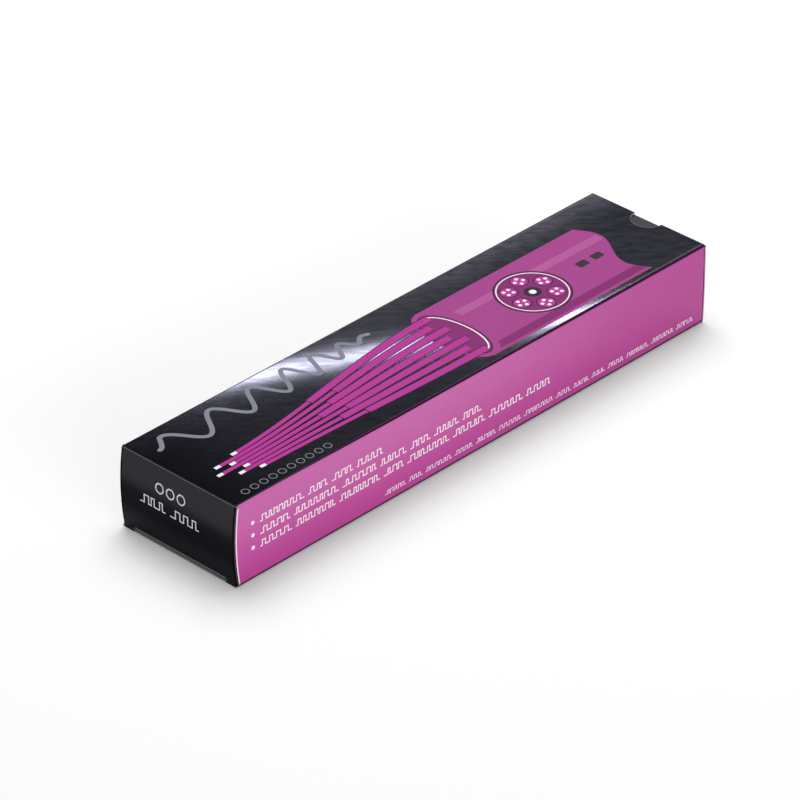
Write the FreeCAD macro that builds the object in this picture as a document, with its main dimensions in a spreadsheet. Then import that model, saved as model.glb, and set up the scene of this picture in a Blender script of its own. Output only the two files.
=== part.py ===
import FreeCAD, Part
import math
import os
import re

import Sketcher

# A reverse-tuck folding carton for a slim hand tool, die cut from one sheet of board. It lies on its
# back panel with its length along X. The near end (-X) closes with a panel hinged on the front panel,
# at the top. The far end (+X) closes with a panel hinged on the back panel, at the bottom, and its
# tongue tucks in behind a thumb notch. The origin is the middle of the base. Sizes are in millimetres.

SIZES = {
    # outside of the closed carton
    "carton_length": 230.0,  # from the plane of one closing panel's creases to the other's
    "carton_width": 53.5,
    "carton_height": 31.4,
    "board": 0.5,  # thickness of the sheet
    "crease_radius": 1.0,  # outside of every square fold
    "tuck_radius": 1.0,  # outside of the fold between a closing panel and its tongue
    "running_gap": 0.3,  # between pieces of board that slide past each other
    "tongue_gap": 0.25,  # between a tongue and the panel it slides along
    # the closing panels
    "near_bow": 1.1,  # how far the board springs out between its two creases
    "far_bow": 0.25,
    "panel_inset": 0.35,  # from the side of the carton to the cut side of a closing panel
    "slit_length": 5.5,  # from the panel's side to the slit that frees each end of the tuck fold
    "slit_mouth": 1.9,  # the slit widens downwards, and leaves an ear beside the fold
    "slit_round": 3.0,
    "ear_gap": 0.15,  # between an ear's foot and the free edge below it
    # the free edges that the tongues tuck in behind, from the plane of the creases
    "near_lip_reach": 0.2,  # how far the near one stands out
    "far_lip_setback": 0.4,  # how far the far one stands back
    # the tongues
    "tongue_length": 12.0,
    "tongue_corner": 6.0,
    "tongue_shoulder": 1.2,
    # the dust flaps
    "dust_length": 20.0,
    "dust_root_gap": 1.2,  # from the faces of the carton to the ends of the dust flap's crease
    "dust_shoulder": 1.45,  # from the side of the carton to the step in the flap
    "dust_lift": 4.0,  # room left for the tongue under the flap
    "dust_taper": 1.8,
    "dust_tip": 4.0,
    # the glued seam
    "glue_height": 15.0,
    "glue_end_gap": 3.0,
    "glue_taper": 6.0,
    # the thumb notch
    "notch_radius": 6.2,
}

SLIT_RISE = 0.85  # how far up the tuck fold a slit runs, as a share of the fold's radius
SLIT_HEAD = 0.25  # width of a slit at its head, as a share of its mouth
FRONT_TAPER = 0.5  # taper of a dust flap on its hinged side, as a share of the taper on its tucked side
HALF = math.sqrt(0.5)  # both parts of a fold that splits halfway round reach this share of its radius
OVERCUT = 1.0  # how far a cut runs past the board that it trims

# Values that follow from the sizes. Each may use the ones above it.
DERIVED = {
    "near_plane": "-(carton_length - near_bow + far_bow) / 2",
    "far_plane": "(carton_length + near_bow - far_bow) / 2",
    "half_width": "carton_width / 2",
    "panel_half": "half_width - panel_inset",
    "fold_half": "panel_half - slit_length",
    "tongue_half": "half_width - 2 * board - 2 * running_gap",
    "inner_crease": "crease_radius - board",
    "inner_tuck": "tuck_radius - board",
    "tongue_level": "board + tongue_gap",
    "slit_top": f"tongue_level + tuck_radius * {SLIT_RISE}",
    "bow_low": "tongue_level + tuck_radius",
    "bow_high": "carton_height - crease_radius",
    "bow_half": "(bow_high - bow_low) / 2",
    "bow_middle": "(bow_high + bow_low) / 2",
    "dust_face": "board + running_gap",
    "dust_low": "dust_root_gap",
    "dust_high": "carton_height - dust_root_gap",
    "tube_end": "dust_face + crease_radius",
}

SIZES_SHEET = "Sizes"
OUTPUT_FOLDER = "parts"


def sized(text):
    """The words of a formula turned into references to the sheet."""
    for name in reversed(list(DERIVED)):
        text = re.sub(rf"\b{name}\b", f"({DERIVED[name]})", text)
    return re.sub(
        r"\b[a-z_]{3,}\b",
        lambda word: f"{SIZES_SHEET}.{word[0]}" if word[0] in SIZES else word[0],
        text,
    )


def make_sheet(document):
    sheet = document.addObject("Spreadsheet::Sheet", SIZES_SHEET)
    for row, (name, value) in enumerate(SIZES.items(), start=1):
        sheet.set(f"A{row}", name.replace("_", " "))
        sheet.set(f"B{row}", str(value))
        sheet.setAlias(f"B{row}", name)
    document.recompute()
    return sheet


def make_body(document, label):
    body = document.addObject("PartDesign::Body", label)
    body.Label = label
    return body


def add_sketch(body, name, plane, offset=None):
    """A sketch on one of the body's own planes, moved along the plane's normal by a formula."""
    sketch = body.newObject("Sketcher::SketchObject", name)
    planes = {feature.Role: feature for feature in body.Origin.OriginFeatures}
    sketch.AttachmentSupport = (planes[plane], [""])
    sketch.MapMode = "FlatFace"
    if offset:
        sketch.setExpression("AttachmentOffset.Base.z", sized(offset))
    return sketch


def tie(sketch, kind, geometry, point, formula):
    """A dimension of the sketch that follows a formula."""
    value = sketch.evalExpression(sized(formula))
    if kind == "Radius":
        constraint = Sketcher.Constraint(kind, geometry, value)
    else:
        constraint = Sketcher.Constraint(kind, -1, 1, geometry, point, value)
    index = sketch.addConstraint(constraint)
    name = f"{kind}_{geometry}_{point}"
    sketch.renameConstraint(index, name)
    sketch.setExpression(f"Constraints.{name}", sized(formula))


def arc_between(start, end, radius, turn):
    """The arc from start to end that turns left (+1) or right (-1), at less than half a circle."""
    chord = end - start
    rise = math.sqrt(max(radius**2 - (chord.Length / 2) ** 2, 0.0))
    left = FreeCAD.Vector(-chord.y, chord.x, 0).normalize()
    centre = (start + end) / 2 + left * rise * turn
    first, last = (start, end) if turn > 0 else (end, start)
    angles = [math.atan2(p.y - centre.y, p.x - centre.x) for p in (first, last)]
    circle = Part.Circle(centre, FreeCAD.Vector(0, 0, 1), radius)
    return Part.ArcOfCircle(circle, *angles)


def draw(sketch, corners):
    """A closed outline. A corner is (across, up), or (across, up, radius, turn) before an arc."""
    first = sketch.GeometryCount
    at = [
        FreeCAD.Vector(*(sketch.evalExpression(sized(text)) for text in corner[:2]), 0)
        for corner in corners
    ]
    ends = []
    for here, corner in enumerate(corners):
        start, end = at[here], at[(here + 1) % len(at)]
        if len(corner) == 2:
            sketch.addGeometry(Part.LineSegment(start, end))
            ends.append((1, 2))
        else:
            radius = sketch.evalExpression(sized(corner[2]))
            sketch.addGeometry(arc_between(start, end, radius, corner[3]))
            ends.append((1, 2) if corner[3] > 0 else (2, 1))
    for here, corner in enumerate(corners):
        after = (here + 1) % len(corners)
        sketch.addConstraint(
            Sketcher.Constraint("Coincident", first + here, ends[here][1], first + after, ends[after][0])
        )
        tie(sketch, "DistanceX", first + here, ends[here][0], corner[0])
        tie(sketch, "DistanceY", first + here, ends[here][0], corner[1])
        if len(corner) > 2:
            tie(sketch, "Radius", first + here, 0, corner[2])
    return sketch


def add_feature(body, kind, sketch, length=None, side="One side", backwards=False):
    """A pad or pocket of a sketch. With no length it goes right through."""
    feature = body.newObject(f"PartDesign::{kind}", f"{sketch.Name}_{kind.lower()}")
    feature.Profile = sketch
    feature.SideType = side
    feature.Reversed = backwards
    if length:
        feature.setExpression("Length", sized(length))
    else:
        feature.Type = "ThroughAll"
    return feature


def pad(body, sketch, length, **how):
    return add_feature(body, "Pad", sketch, length, **how)


def pocket(body, sketch, length=None, **how):
    return add_feature(body, "Pocket", sketch, length, **how)


# Both ends are drawn from the same formulas. "Depth" runs into the carton from the plane of the
# closing panel's creases, and "height" runs from the tucked side (0) to the hinged side.


def bow_radius(bow):
    return f"(bow_half^2 + ({bow})^2) / (2 * ({bow}))"


def bow_depth(bow, height):
    """Depth of the bowed face at a height: 0 at its two creases, -bow halfway between them."""
    radius = bow_radius(bow)
    return f"({radius} - ({bow}) - sqrt(({radius})^2 - (({height}) - bow_middle)^2))"


def make_closing_panel(document, label, bow):
    """The end panel from its hinge crease to the middle of the tuck fold, with an ear at each side."""
    body = make_body(document, label)
    fold_in, fold_down = f"crease_radius * (1 - {HALF})", f"carton_height - crease_radius * (1 - {HALF})"
    panel = add_sketch(body, "panel", "XZ_Plane")
    draw(
        panel,
        [
            (fold_in, fold_down, "crease_radius", +1),
            ("0", "bow_high", bow_radius(bow), +1),
            ("0", "bow_low"),
            ("board", "bow_low", bow_radius(bow), -1),
            ("board", "bow_high", "inner_crease", -1),
            (f"crease_radius - inner_crease * {HALF}", f"bow_high + inner_crease * {HALF}"),
        ],
    )
    pad(body, panel, "2 * panel_half", side="Symmetric")
    fold = add_sketch(body, "tuck_fold", "XZ_Plane")
    draw(
        fold,
        [
            ("0", "bow_low", "tuck_radius", +1),
            (f"tuck_radius * (1 - {HALF})", f"bow_low - tuck_radius * {HALF}"),
            (f"tuck_radius - inner_tuck * {HALF}", f"bow_low - inner_tuck * {HALF}", "inner_tuck", -1),
            ("board", "bow_low"),
        ],
    )
    pad(body, fold, "2 * fold_half", side="Symmetric")
    ears = add_sketch(body, "ears", "YZ_Plane")
    for side in ("-", ""):
        draw(
            ears,
            [
                (f"{side}fold_half", "board + ear_gap"),
                (f"{side}panel_half", "board + ear_gap"),
                (f"{side}panel_half", "bow_low"),
                (f"{side}fold_half", "bow_low"),
            ],
        )
    pad(body, ears, "board")
    slits = add_sketch(body, "slits", "YZ_Plane", "-board")
    for side, turn in (("-", -1), ("", +1)):
        draw(
            slits,
            [
                (f"{side}fold_half", "0"),
                (f"{side}(fold_half + slit_mouth)", "0", "slit_round", turn),
                (f"{side}(fold_half + slit_mouth * {SLIT_HEAD})", "slit_top"),
                (f"{side}fold_half", "slit_top"),
            ],
        )
    pocket(body, slits, "2 * board", backwards=True)
    return body


def make_tongue(document, label):
    """The tongue from the middle of the tuck fold inwards, wider than its fold by a shoulder."""
    body = make_body(document, label)
    fold = add_sketch(body, "tuck_fold", "XZ_Plane")
    draw(
        fold,
        [
            (f"tuck_radius * (1 - {HALF})", f"bow_low - tuck_radius * {HALF}", "tuck_radius", +1),
            ("tuck_radius", "tongue_level"),
            ("tuck_radius", "tongue_level + board", "inner_tuck", -1),
            (f"tuck_radius - inner_tuck * {HALF}", f"bow_low - inner_tuck * {HALF}"),
        ],
    )
    pad(body, fold, "2 * fold_half", side="Symmetric")
    blade = add_sketch(body, "blade", "XY_Plane", "tongue_level")
    draw(
        blade,
        [
            ("tuck_radius", "-(tongue_half - tongue_shoulder)", "tongue_shoulder", +1),
            ("tuck_radius + tongue_shoulder", "-tongue_half"),
            ("tongue_length - tongue_corner", "-tongue_half", "tongue_corner", +1),
            ("tongue_length", "-(tongue_half - tongue_corner)"),
            ("tongue_length", "tongue_half - tongue_corner", "tongue_corner", +1),
            ("tongue_length - tongue_corner", "tongue_half"),
            ("tuck_radius + tongue_shoulder", "tongue_half", "tongue_shoulder", +1),
            ("tuck_radius", "tongue_half - tongue_shoulder"),
        ],
    )
    pad(body, blade, "board")
    return body


def seat_at_end(body, end):
    """Puts a piece drawn in depth and height at its end. The far end is the near one turned over."""
    body.setExpression("Placement.Base.x", sized(f"{end}_plane"))
    if end == "far":
        body.Placement.Rotation = FreeCAD.Rotation(FreeCAD.Vector(0, 1, 0), 180)
        body.setExpression("Placement.Base.z", sized("carton_height"))


class End:
    """Turns depth and height at one end of the carton into X and Z of the tube."""

    def __init__(self, name):
        self.name = name
        self.near = name == "near"
        self.bow = f"{name}_bow"
        self.lip = "-near_lip_reach" if self.near else "far_lip_setback"
        self.turn = 1 if self.near else -1

    def x(self, depth):
        return f"near_plane + ({depth})" if self.near else f"far_plane - ({depth})"

    def z(self, height):
        return height if self.near else f"carton_height - ({height})"

    def corner(self, depth, height, radius=None, turn=None):
        arc = () if radius is None else (radius, turn)
        return (self.x(depth), self.z(height), *arc)


def make_tube_section(body):
    """The folded section: four panels, and the glue flap that runs up inside the left side panel."""
    section = add_sketch(body, "section", "YZ_Plane", "near_plane - near_bow")
    seam, seam_inner = "half_width - board", "half_width - 2 * board"
    left, right = "half_width", "-half_width"
    top, inner_top = "carton_height", "carton_height - board"
    draw(
        section,
        [
            (left, "running_gap"),
            (left, "carton_height - crease_radius", "crease_radius", +1),
            ("half_width - crease_radius", top),
            ("-(half_width - crease_radius)", top, "crease_radius", +1),
            (right, "carton_height - crease_radius"),
            (right, "crease_radius", "crease_radius", +1),
            ("-(half_width - crease_radius)", "0"),
            ("half_width - board - crease_radius", "0", "crease_radius", +1),
            (seam, "crease_radius"),
            (seam, "running_gap"),
        ],
    )
    draw(
        section,
        [
            (seam_inner, "glue_height"),
            (seam, "glue_height + board"),
            (seam, "carton_height - crease_radius", "inner_crease", +1),
            ("half_width - crease_radius", inner_top),
            ("-(half_width - crease_radius)", inner_top, "inner_crease", +1),
            ("-(half_width - board)", "carton_height - crease_radius"),
            ("-(half_width - board)", "crease_radius", "inner_crease", +1),
            ("-(half_width - crease_radius)", "board"),
            ("half_width - board - crease_radius", "board", "inner_crease", +1),
            (seam_inner, "crease_radius"),
        ],
    )
    pad(body, section, "carton_length + near_bow + far_bow")


def trim_tube_end(body, end):
    """Cuts the end of the tube: the hinged panel at its crease, the side panels at their bowed
    creases, and the tucked side's panel at its free edge."""
    trim = add_sketch(body, f"{end.name}_trim", "XZ_Plane")
    outside = f"-({end.bow} + {OVERCUT})"
    draw(
        trim,
        [
            end.corner(outside, f"carton_height + {OVERCUT}"),
            end.corner(outside, f"-{OVERCUT}"),
            end.corner(end.lip, f"-{OVERCUT}"),
            end.corner(end.lip, "board"),
            end.corner("dust_face", "board"),
            end.corner("dust_face", "dust_low"),
            end.corner(
                f"tube_end + {bow_depth(end.bow, 'dust_low')}", "dust_low", bow_radius(end.bow), -1
            ),
            end.corner(f"tube_end + {bow_depth(end.bow, 'dust_high')}", "dust_high"),
            end.corner("dust_face", "dust_high"),
            end.corner("dust_face", "carton_height - board"),
            end.corner("crease_radius", "carton_height - board"),
            end.corner("crease_radius", f"carton_height + {OVERCUT}"),
        ],
    )
    pocket(body, trim, side="Symmetric")


def add_hinge_crease(body, end):
    """The half of the hinge crease that stays with the tube."""
    crease = add_sketch(body, f"{end.name}_hinge_crease", "XZ_Plane")
    draw(
        crease,
        [
            end.corner("crease_radius", "carton_height", "crease_radius", +1),
            end.corner(f"crease_radius * (1 - {HALF})", f"bow_high + crease_radius * {HALF}"),
            end.corner(
                f"crease_radius - inner_crease * {HALF}",
                f"bow_high + inner_crease * {HALF}",
                "inner_crease",
                -1,
            ),
            end.corner("crease_radius", "carton_height - board"),
        ],
    )
    pad(body, crease, "2 * panel_half", side="Symmetric")


def add_dust_flap(body, end, side):
    """A side panel's dust flap, folded in behind the closing panel and bowed like it."""
    name = f"{end.name}_{'right' if side == '-' else 'left'}"
    path = add_sketch(body, f"{name}_path", "XZ_Plane")
    radius = path.evalExpression(sized(bow_radius(end.bow)))
    low, high = (
        FreeCAD.Vector(
            path.evalExpression(sized(end.x(bow_depth(end.bow, height)))),
            path.evalExpression(sized(end.z(height))),
            0,
        )
        for height in ("dust_low", "dust_high")
    )
    path.addGeometry(arc_between(low, high, radius, -1))
    for point, height in ((2, "dust_low"), (1, "dust_high")):
        tie(path, "DistanceX", 0, point, end.x(bow_depth(end.bow, height)))
        tie(path, "DistanceY", 0, point, end.z(height))
    tie(path, "Radius", 0, 0, bow_radius(end.bow))

    start = bow_depth(end.bow, "dust_low")
    section = add_sketch(body, f"{name}_section", "XY_Plane", end.z("dust_low"))
    turn = end.turn if side == "-" else -end.turn
    overlap = "tube_end + 2 * board"

    def corner(depth, inset, radius=None, way=None):
        arc = () if radius is None else (radius, way)
        return (end.x(f"{start} + {depth}"), f"{side}(half_width - ({inset}))", *arc)

    draw(
        section,
        [
            corner(overlap, "0"),
            corner("tube_end", "0", "crease_radius", -turn),
            corner("dust_face", "crease_radius"),
            corner("dust_face", "dust_length"),
            corner("dust_face + board", "dust_length"),
            corner("dust_face + board", "crease_radius", "inner_crease", turn),
            corner("tube_end", "board"),
            corner(overlap, "board"),
        ],
    )
    pipe = body.newObject("PartDesign::AdditivePipe", f"{name}_pipe")
    pipe.Profile = section
    pipe.Spine = (path, ["Edge1"])
    pipe.Mode = "Fixed"

    shape = add_sketch(body, f"{name}_shape", "YZ_Plane", end.x(f"-({end.bow})"))

    def edge(inset, height, radius=None, way=None):
        arc = () if radius is None else (radius, way * (1 if side == "-" else -1) * end.turn)
        return (f"{side}(half_width - ({inset}))", end.z(height), *arc)

    past_tip = f"dust_length + {OVERCUT}"
    front_taper = f"dust_taper * {FRONT_TAPER}"
    draw(
        shape,
        [
            edge("dust_shoulder", "dust_low - board / 2"),
            edge("dust_shoulder", "dust_lift"),
            edge("dust_length - dust_tip", "dust_lift + dust_taper", "dust_tip", +1),
            edge("dust_length", "dust_lift + dust_taper + dust_tip"),
            edge(past_tip, "dust_lift + dust_taper + dust_tip"),
            edge(past_tip, "dust_low - board / 2"),
        ],
    )
    draw(
        shape,
        [
            edge("dust_shoulder", "dust_high + board / 2"),
            edge("dust_shoulder", "dust_high"),
            edge("dust_length - dust_tip", f"dust_high - {front_taper}", "dust_tip", -1),
            edge("dust_length", f"dust_high - {front_taper} - dust_tip"),
            edge(past_tip, f"dust_high - {front_taper} - dust_tip"),
            edge(past_tip, "dust_high + board / 2"),
        ],
    )
    pocket(body, shape, "tube_end + 2 * board + " + end.bow, backwards=end.near)


def taper_glue_flap(body, end):
    """Slants the end of the glue flap, so that it slides in past the panels."""
    slant = add_sketch(body, f"{end.name}_glue_slant", "XZ_Plane", "-(half_width - board)")
    low, high = "crease_radius", f"glue_height + board + {OVERCUT}"
    draw(
        slant,
        [
            (end.x(f"-{OVERCUT}"), low),
            (end.x("glue_end_gap"), low),
            (end.x("glue_end_gap + glue_taper"), high),
            (end.x(f"-{OVERCUT}"), high),
        ],
    )
    pocket(body, slant, "board", backwards=True)


def cut_thumb_notch(body):
    """The half-round notch in the front panel's free edge, over the far tongue."""
    notch = add_sketch(body, "thumb_notch", "XY_Plane", "carton_height")
    centre = notch.evalExpression(sized("far_plane - far_lip_setback"))
    radius = notch.evalExpression(sized("notch_radius"))
    notch.addGeometry(Part.Circle(FreeCAD.Vector(centre, 0, 0), FreeCAD.Vector(0, 0, 1), radius))
    tie(notch, "DistanceX", 0, 3, "far_plane - far_lip_setback")
    tie(notch, "DistanceY", 0, 3, "0")
    tie(notch, "Radius", 0, 0, "notch_radius")
    pocket(body, notch, "board")


def make_tube(document):
    body = make_body(document, "carton_tube")
    make_tube_section(body)
    ends = [End("near"), End("far")]
    for end in ends:
        taper_glue_flap(body, end)
    for end in ends:
        trim_tube_end(body, end)
        add_hinge_crease(body, end)
        for side in ("-", ""):
            add_dust_flap(body, end, side)
    cut_thumb_notch(body)
    return body


def check(document, bodies):
    """Stops the build if a feature failed or a piece isn't one sound solid."""
    failed = [thing.Name for thing in document.Objects if {"Invalid", "Error"} & set(thing.State)]
    if failed:
        raise RuntimeError(f"these features failed: {', '.join(failed)}")
    for body in bodies:
        shape = body.Shape
        if shape.isNull() or not shape.isValid() or len(shape.Solids) != 1:
            raise RuntimeError(f"{body.Label} isn't one valid solid")


def main():
    document = FreeCAD.newDocument("folding_carton")
    make_sheet(document)
    bodies = [make_tube(document)]
    for end in ("near", "far"):
        panel = make_closing_panel(document, f"{end}_closing_panel", f"{end}_bow")
        tongue = make_tongue(document, f"{end}_tuck_tongue")
        for body in (panel, tongue):
            seat_at_end(body, end)
            bodies.append(body)
    document.recompute()
    check(document, bodies)
    os.makedirs(OUTPUT_FOLDER, exist_ok=True)
    for body in bodies:
        body.Shape.exportStep(os.path.join(OUTPUT_FOLDER, f"{body.Label}.step"))
        box = body.Shape.BoundBox
        print(f"{body.Label}: {body.Shape.Volume:.1f} mm3, {box.XLength:.2f} x {box.YLength:.2f} x {box.ZLength:.2f}")


main()
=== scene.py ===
import math
from types import SimpleNamespace

import bpy
import numpy as np
from mathutils import Matrix, Vector


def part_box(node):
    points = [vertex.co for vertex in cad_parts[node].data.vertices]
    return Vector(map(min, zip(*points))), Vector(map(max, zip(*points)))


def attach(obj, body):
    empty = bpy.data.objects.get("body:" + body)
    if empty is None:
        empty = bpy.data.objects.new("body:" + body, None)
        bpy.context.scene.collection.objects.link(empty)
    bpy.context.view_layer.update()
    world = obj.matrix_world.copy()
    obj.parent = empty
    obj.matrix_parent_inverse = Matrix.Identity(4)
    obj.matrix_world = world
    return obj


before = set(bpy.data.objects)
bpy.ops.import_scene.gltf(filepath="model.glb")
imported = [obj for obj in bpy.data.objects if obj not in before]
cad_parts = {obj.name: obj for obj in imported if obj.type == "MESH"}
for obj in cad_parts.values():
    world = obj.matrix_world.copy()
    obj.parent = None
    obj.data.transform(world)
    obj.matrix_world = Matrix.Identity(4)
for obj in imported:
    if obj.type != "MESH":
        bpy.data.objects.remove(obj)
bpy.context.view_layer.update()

# A printed carton of black foil board with magenta sides. Sizes below are in millimetres, in the
# carton's own frame: X runs to the end with the thumb notch, Z up to the front panel.
mm = 0.001

tubeHigh = np.array(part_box("carton_tube")[1]) / mm
nearLow, nearHigh = (np.array(corner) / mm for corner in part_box("near_closing_panel"))
farHigh = np.array(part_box("far_closing_panel")[1]) / mm

carton = {
    "board": 0.5,
    "halfWidth": tubeHigh[1],
    "height": tubeHigh[2],
    "foldRadius": 1.0,
    "tuckRadius": 1.0,
    "tongueLevel": 0.75,  # of a tongue's outside, from the outside of the panel that it tucks behind
    "dustFace": 0.8,  # from the plane of the end creases to the outside of the dust flaps
    "dustEdge": 1.1,  # from the top and bottom faces to the dust flaps' creases
    "nearBow": 1.1,
    "farBow": 0.25,
    "lipSetback": 0.4,  # of the far end's free edge, from the plane of the creases
    "notchRadius": 6.2,
    "panelHalf": nearHigh[1],
    "tuckHalf": 21.3,  # half the length of a tuck fold, between its slit locks
}
carton["nearPlane"] = nearLow[0] + carton["nearBow"]
carton["farPlane"] = farHigh[0] - carton["farBow"]
bowLow = carton["tongueLevel"] + carton["tuckRadius"]
bowHigh = carton["height"] - carton["foldRadius"]
bowHalf = (bowHigh - bowLow) / 2
bowMiddle = (bowHigh + bowLow) / 2


def bowRadius(bow):
    # radius of the arc that rises by bow between the two creases of a closing panel, which stand
    # half apart on each side: (half^2 + bow^2) / (2 * bow)
    return (bowHalf**2 + bow**2) / (2 * bow)


# Small steps of shader trees. A value given to one is a socket, which is linked, or else a constant.

def put(socket, value):
    if isinstance(value, bpy.types.NodeSocket):
        socket.id_data.links.new(value, socket)
    elif socket.type == "RGBA":
        socket.default_value = (*value, 1.0)
    else:
        socket.default_value = value


def fill(node, values):
    # each named input of the node gets its value
    for label, value in values.items():
        put(node.inputs[label], value)


def newNode(kind, *values):
    # a node in the tree of the first socket among the values
    tree = next(value.id_data for value in values if isinstance(value, bpy.types.NodeSocket))
    return tree.nodes.new("ShaderNode" + kind)


def calc(operation, *values, clamp=False):
    node = newNode("Math", *values)
    node.operation = operation
    node.use_clamp = clamp
    for socket, value in zip(node.inputs, values):
        put(socket, value)
    return node.outputs[0]


def product(*values):
    total = values[0]
    for value in values[1:]:
        total = calc("MULTIPLY", total, value)
    return total


def addProduct(value, factor, added):
    return calc("MULTIPLY_ADD", value, factor, added)


def minus(value, other):
    return calc("SUBTRACT", value, other)


def rest(share):
    # what the share leaves of one
    return calc("SUBTRACT", 1.0, share)


def greater(value, other):
    return calc("MAXIMUM", value, other)


def unsigned(value):
    return calc("ABSOLUTE", value)


def isLess(value, limit):
    return calc("LESS_THAN", value, limit)


def isMore(value, limit):
    return calc("GREATER_THAN", value, limit)


def hypotenuse(first, second):
    # the root of the sum of both squares
    return calc("SQRT", calc("ADD", product(first, first), product(second, second)))


def choose(share, first, second):
    # the first value where the share is nothing, and the second where it is one
    node = newNode("Mix", share)
    for index, value in ((0, share), (2, first), (3, second)):
        put(node.inputs[index], value)
    return node.outputs[0]


def blend(share, first, second, kind="MIX"):
    node = newNode("Mix", share, first, second)
    node.data_type = "RGBA"
    node.blend_type = kind
    for index, value in ((0, share), (6, first), (7, second)):
        put(node.inputs[index], value)
    return node.outputs[2]


def ramp(value, low, high, outLow=0.0, outHigh=1.0):
    # goes smoothly from outLow to outHigh as the value rises from low to high
    node = newNode("MapRange", value)
    node.interpolation_type = "SMOOTHSTEP"
    fill(node, {"Value": value, "From Min": low, "From Max": high, "To Min": outLow, "To Max": outHigh})
    return node.outputs["Result"]


def noise(vector, scale, detail=2.0, roughness=0.5, distortion=0.0):
    node = newNode("TexNoise", vector)
    fill(node, {"Vector": vector, "Scale": scale, "Detail": detail, "Roughness": roughness})
    put(node.inputs["Distortion"], distortion)
    return node.outputs["Fac"]


def stretched(vector, turn, scale):
    # the pattern is drawn out by the scale along axes turned about Z
    node = newNode("Mapping", vector)
    node.vector_type = "TEXTURE"
    fill(node, {"Vector": vector, "Rotation": (0, 0, math.radians(turn)), "Scale": scale})
    return node.outputs["Vector"]


def axes(vector):
    node = newNode("SeparateXYZ", vector)
    put(node.inputs[0], vector)
    return SimpleNamespace(x=node.outputs["X"], y=node.outputs["Y"], z=node.outputs["Z"])


def seenRays(tree):
    # one for what the camera sees, straight, mirrored or through glass, and nothing for other light
    path = tree.nodes.new("ShaderNodeLightPath")
    indirect = greater(path.outputs["Is Glossy Ray"], path.outputs["Is Transmission Ray"])
    return greater(path.outputs["Is Camera Ray"], indirect)


def makeGroup(name, inputs, outputs):
    # a socket is a number unless its name says that it is a place or a colour
    tree = bpy.data.node_groups.new(name, "ShaderNodeTree")
    kinds = {"Place": "Vector", **dict.fromkeys(("Colour", "Print", "Liner", "Core", "Back"), "Color")}
    for way, labels in (("INPUT", inputs), ("OUTPUT", outputs)):
        for label in labels:
            kind = "NodeSocket" + kinds.get(label, "Float")
            tree.interface.new_socket(label, in_out=way, socket_type=kind)
    inside, outside = tree.nodes.new("NodeGroupInput"), tree.nodes.new("NodeGroupOutput")
    return tree, inside.outputs, outside.inputs


def useGroup(group, **values):
    node = newNode("Group", *values.values())
    node.node_tree = group
    fill(node, values)
    return node.outputs


# In these dictionaries a noise is scale, detail, roughness and distortion; a stretch is the turn about
# Z in degrees and the scale along each turned axis; and a ramp is from, to, and the values at both,
# which are 0 and 1 where they aren't given.
reliefLook = {
    "waves": (0.028, 1.0, 0.4),
    "wavesDrawn": (-12, (3.0, 1.0, 1.0)),
    "wrinkles": (0.55, 2.0, 0.5, 0.5),
    "wrinklesDrawn": (-40, (3.2, 1.0, 1.6)),
    "wrinklesGrow": (-20.0, 110.0, 0.05, 1.0),
    "peel": (1.3, 1.0, 0.5),
    "sheenStreaks": (0.3, 0.7, 0.62, 1.1),
    "sheenNear": (-119.0, -70.0, 0.0, 0.14),
    "sheenFar": (-60.0, 110.0, 0.0, 0.14),
    "sheenCornerAcross": (10.0, 27.0),
    "sheenCornerAlong": (-40.0, 85.0, 0.07, 0.58),
}


def makeFoilRelief():
    # Unevenness of foil board: slow waves where the sheet isn't flat, wrinkles that lie across the
    # carton and grow towards its far end, and fine orange peel. Height is in millimetres. The second
    # output is a painted reflection: how much of its lighter glint colour the foil gets, in streaks
    # along the wrinkles, more towards the far end and the seam side's fold.
    look = reliefLook
    tree, given, out = makeGroup("foilRelief", ("Place", "Waves", "Wrinkles", "Peel"), ("Height", "PaintedSheen"))
    place, at = given["Place"], axes(given["Place"])
    waves = noise(stretched(place, *look["wavesDrawn"]), *look["waves"])
    wrinkles = noise(stretched(place, *look["wrinklesDrawn"]), *look["wrinkles"])
    grown = product(given["Wrinkles"], ramp(at.x, *look["wrinklesGrow"]))
    height = addProduct(wrinkles, grown, product(waves, given["Waves"]))
    put(out["Height"], addProduct(noise(place, *look["peel"]), given["Peel"], height))
    # painted reflection: the glint rises along the carton towards the far end, and more at the far corner
    # on the seam side, in streaks along the wrinkles
    tone = calc("ADD", ramp(at.x, *look["sheenNear"]), ramp(at.x, *look["sheenFar"]))
    corner = product(ramp(at.y, *look["sheenCornerAcross"]), ramp(at.x, *look["sheenCornerAlong"]))
    put(out["PaintedSheen"], product(ramp(wrinkles, *look["sheenStreaks"]), calc("ADD", tone, corner)))
    return tree


wearAndHighlightLook = {"patches": (0.55, 4.0, 0.7), "bare": (0.3, 0.65)}


def makeFoldWear():
    # a patchy line along a fold, for wear and a painted highlight: strong where the distance is nothing,
    # and gone past the width
    tree, given, out = makeGroup("foldWearAndHighlight", ("Place", "Distance", "Width", "Patches"), ("Mask",))
    outwards = calc("DIVIDE", given["Distance"], given["Width"])
    near = calc("SUBTRACT", 1.0, outwards, clamp=True)
    bare = ramp(noise(given["Place"], *wearAndHighlightLook["patches"]), *wearAndHighlightLook["bare"])
    strength = addProduct(bare, given["Patches"], rest(given["Patches"]))
    put(out["Mask"], calc("MULTIPLY", near, strength, clamp=True))
    return tree


inkLook = {"slow": (0.035, 2.0, 0.5), "specks": (2.2, 2.0, 0.6), "noiseMiddle": 0.5}


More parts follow.
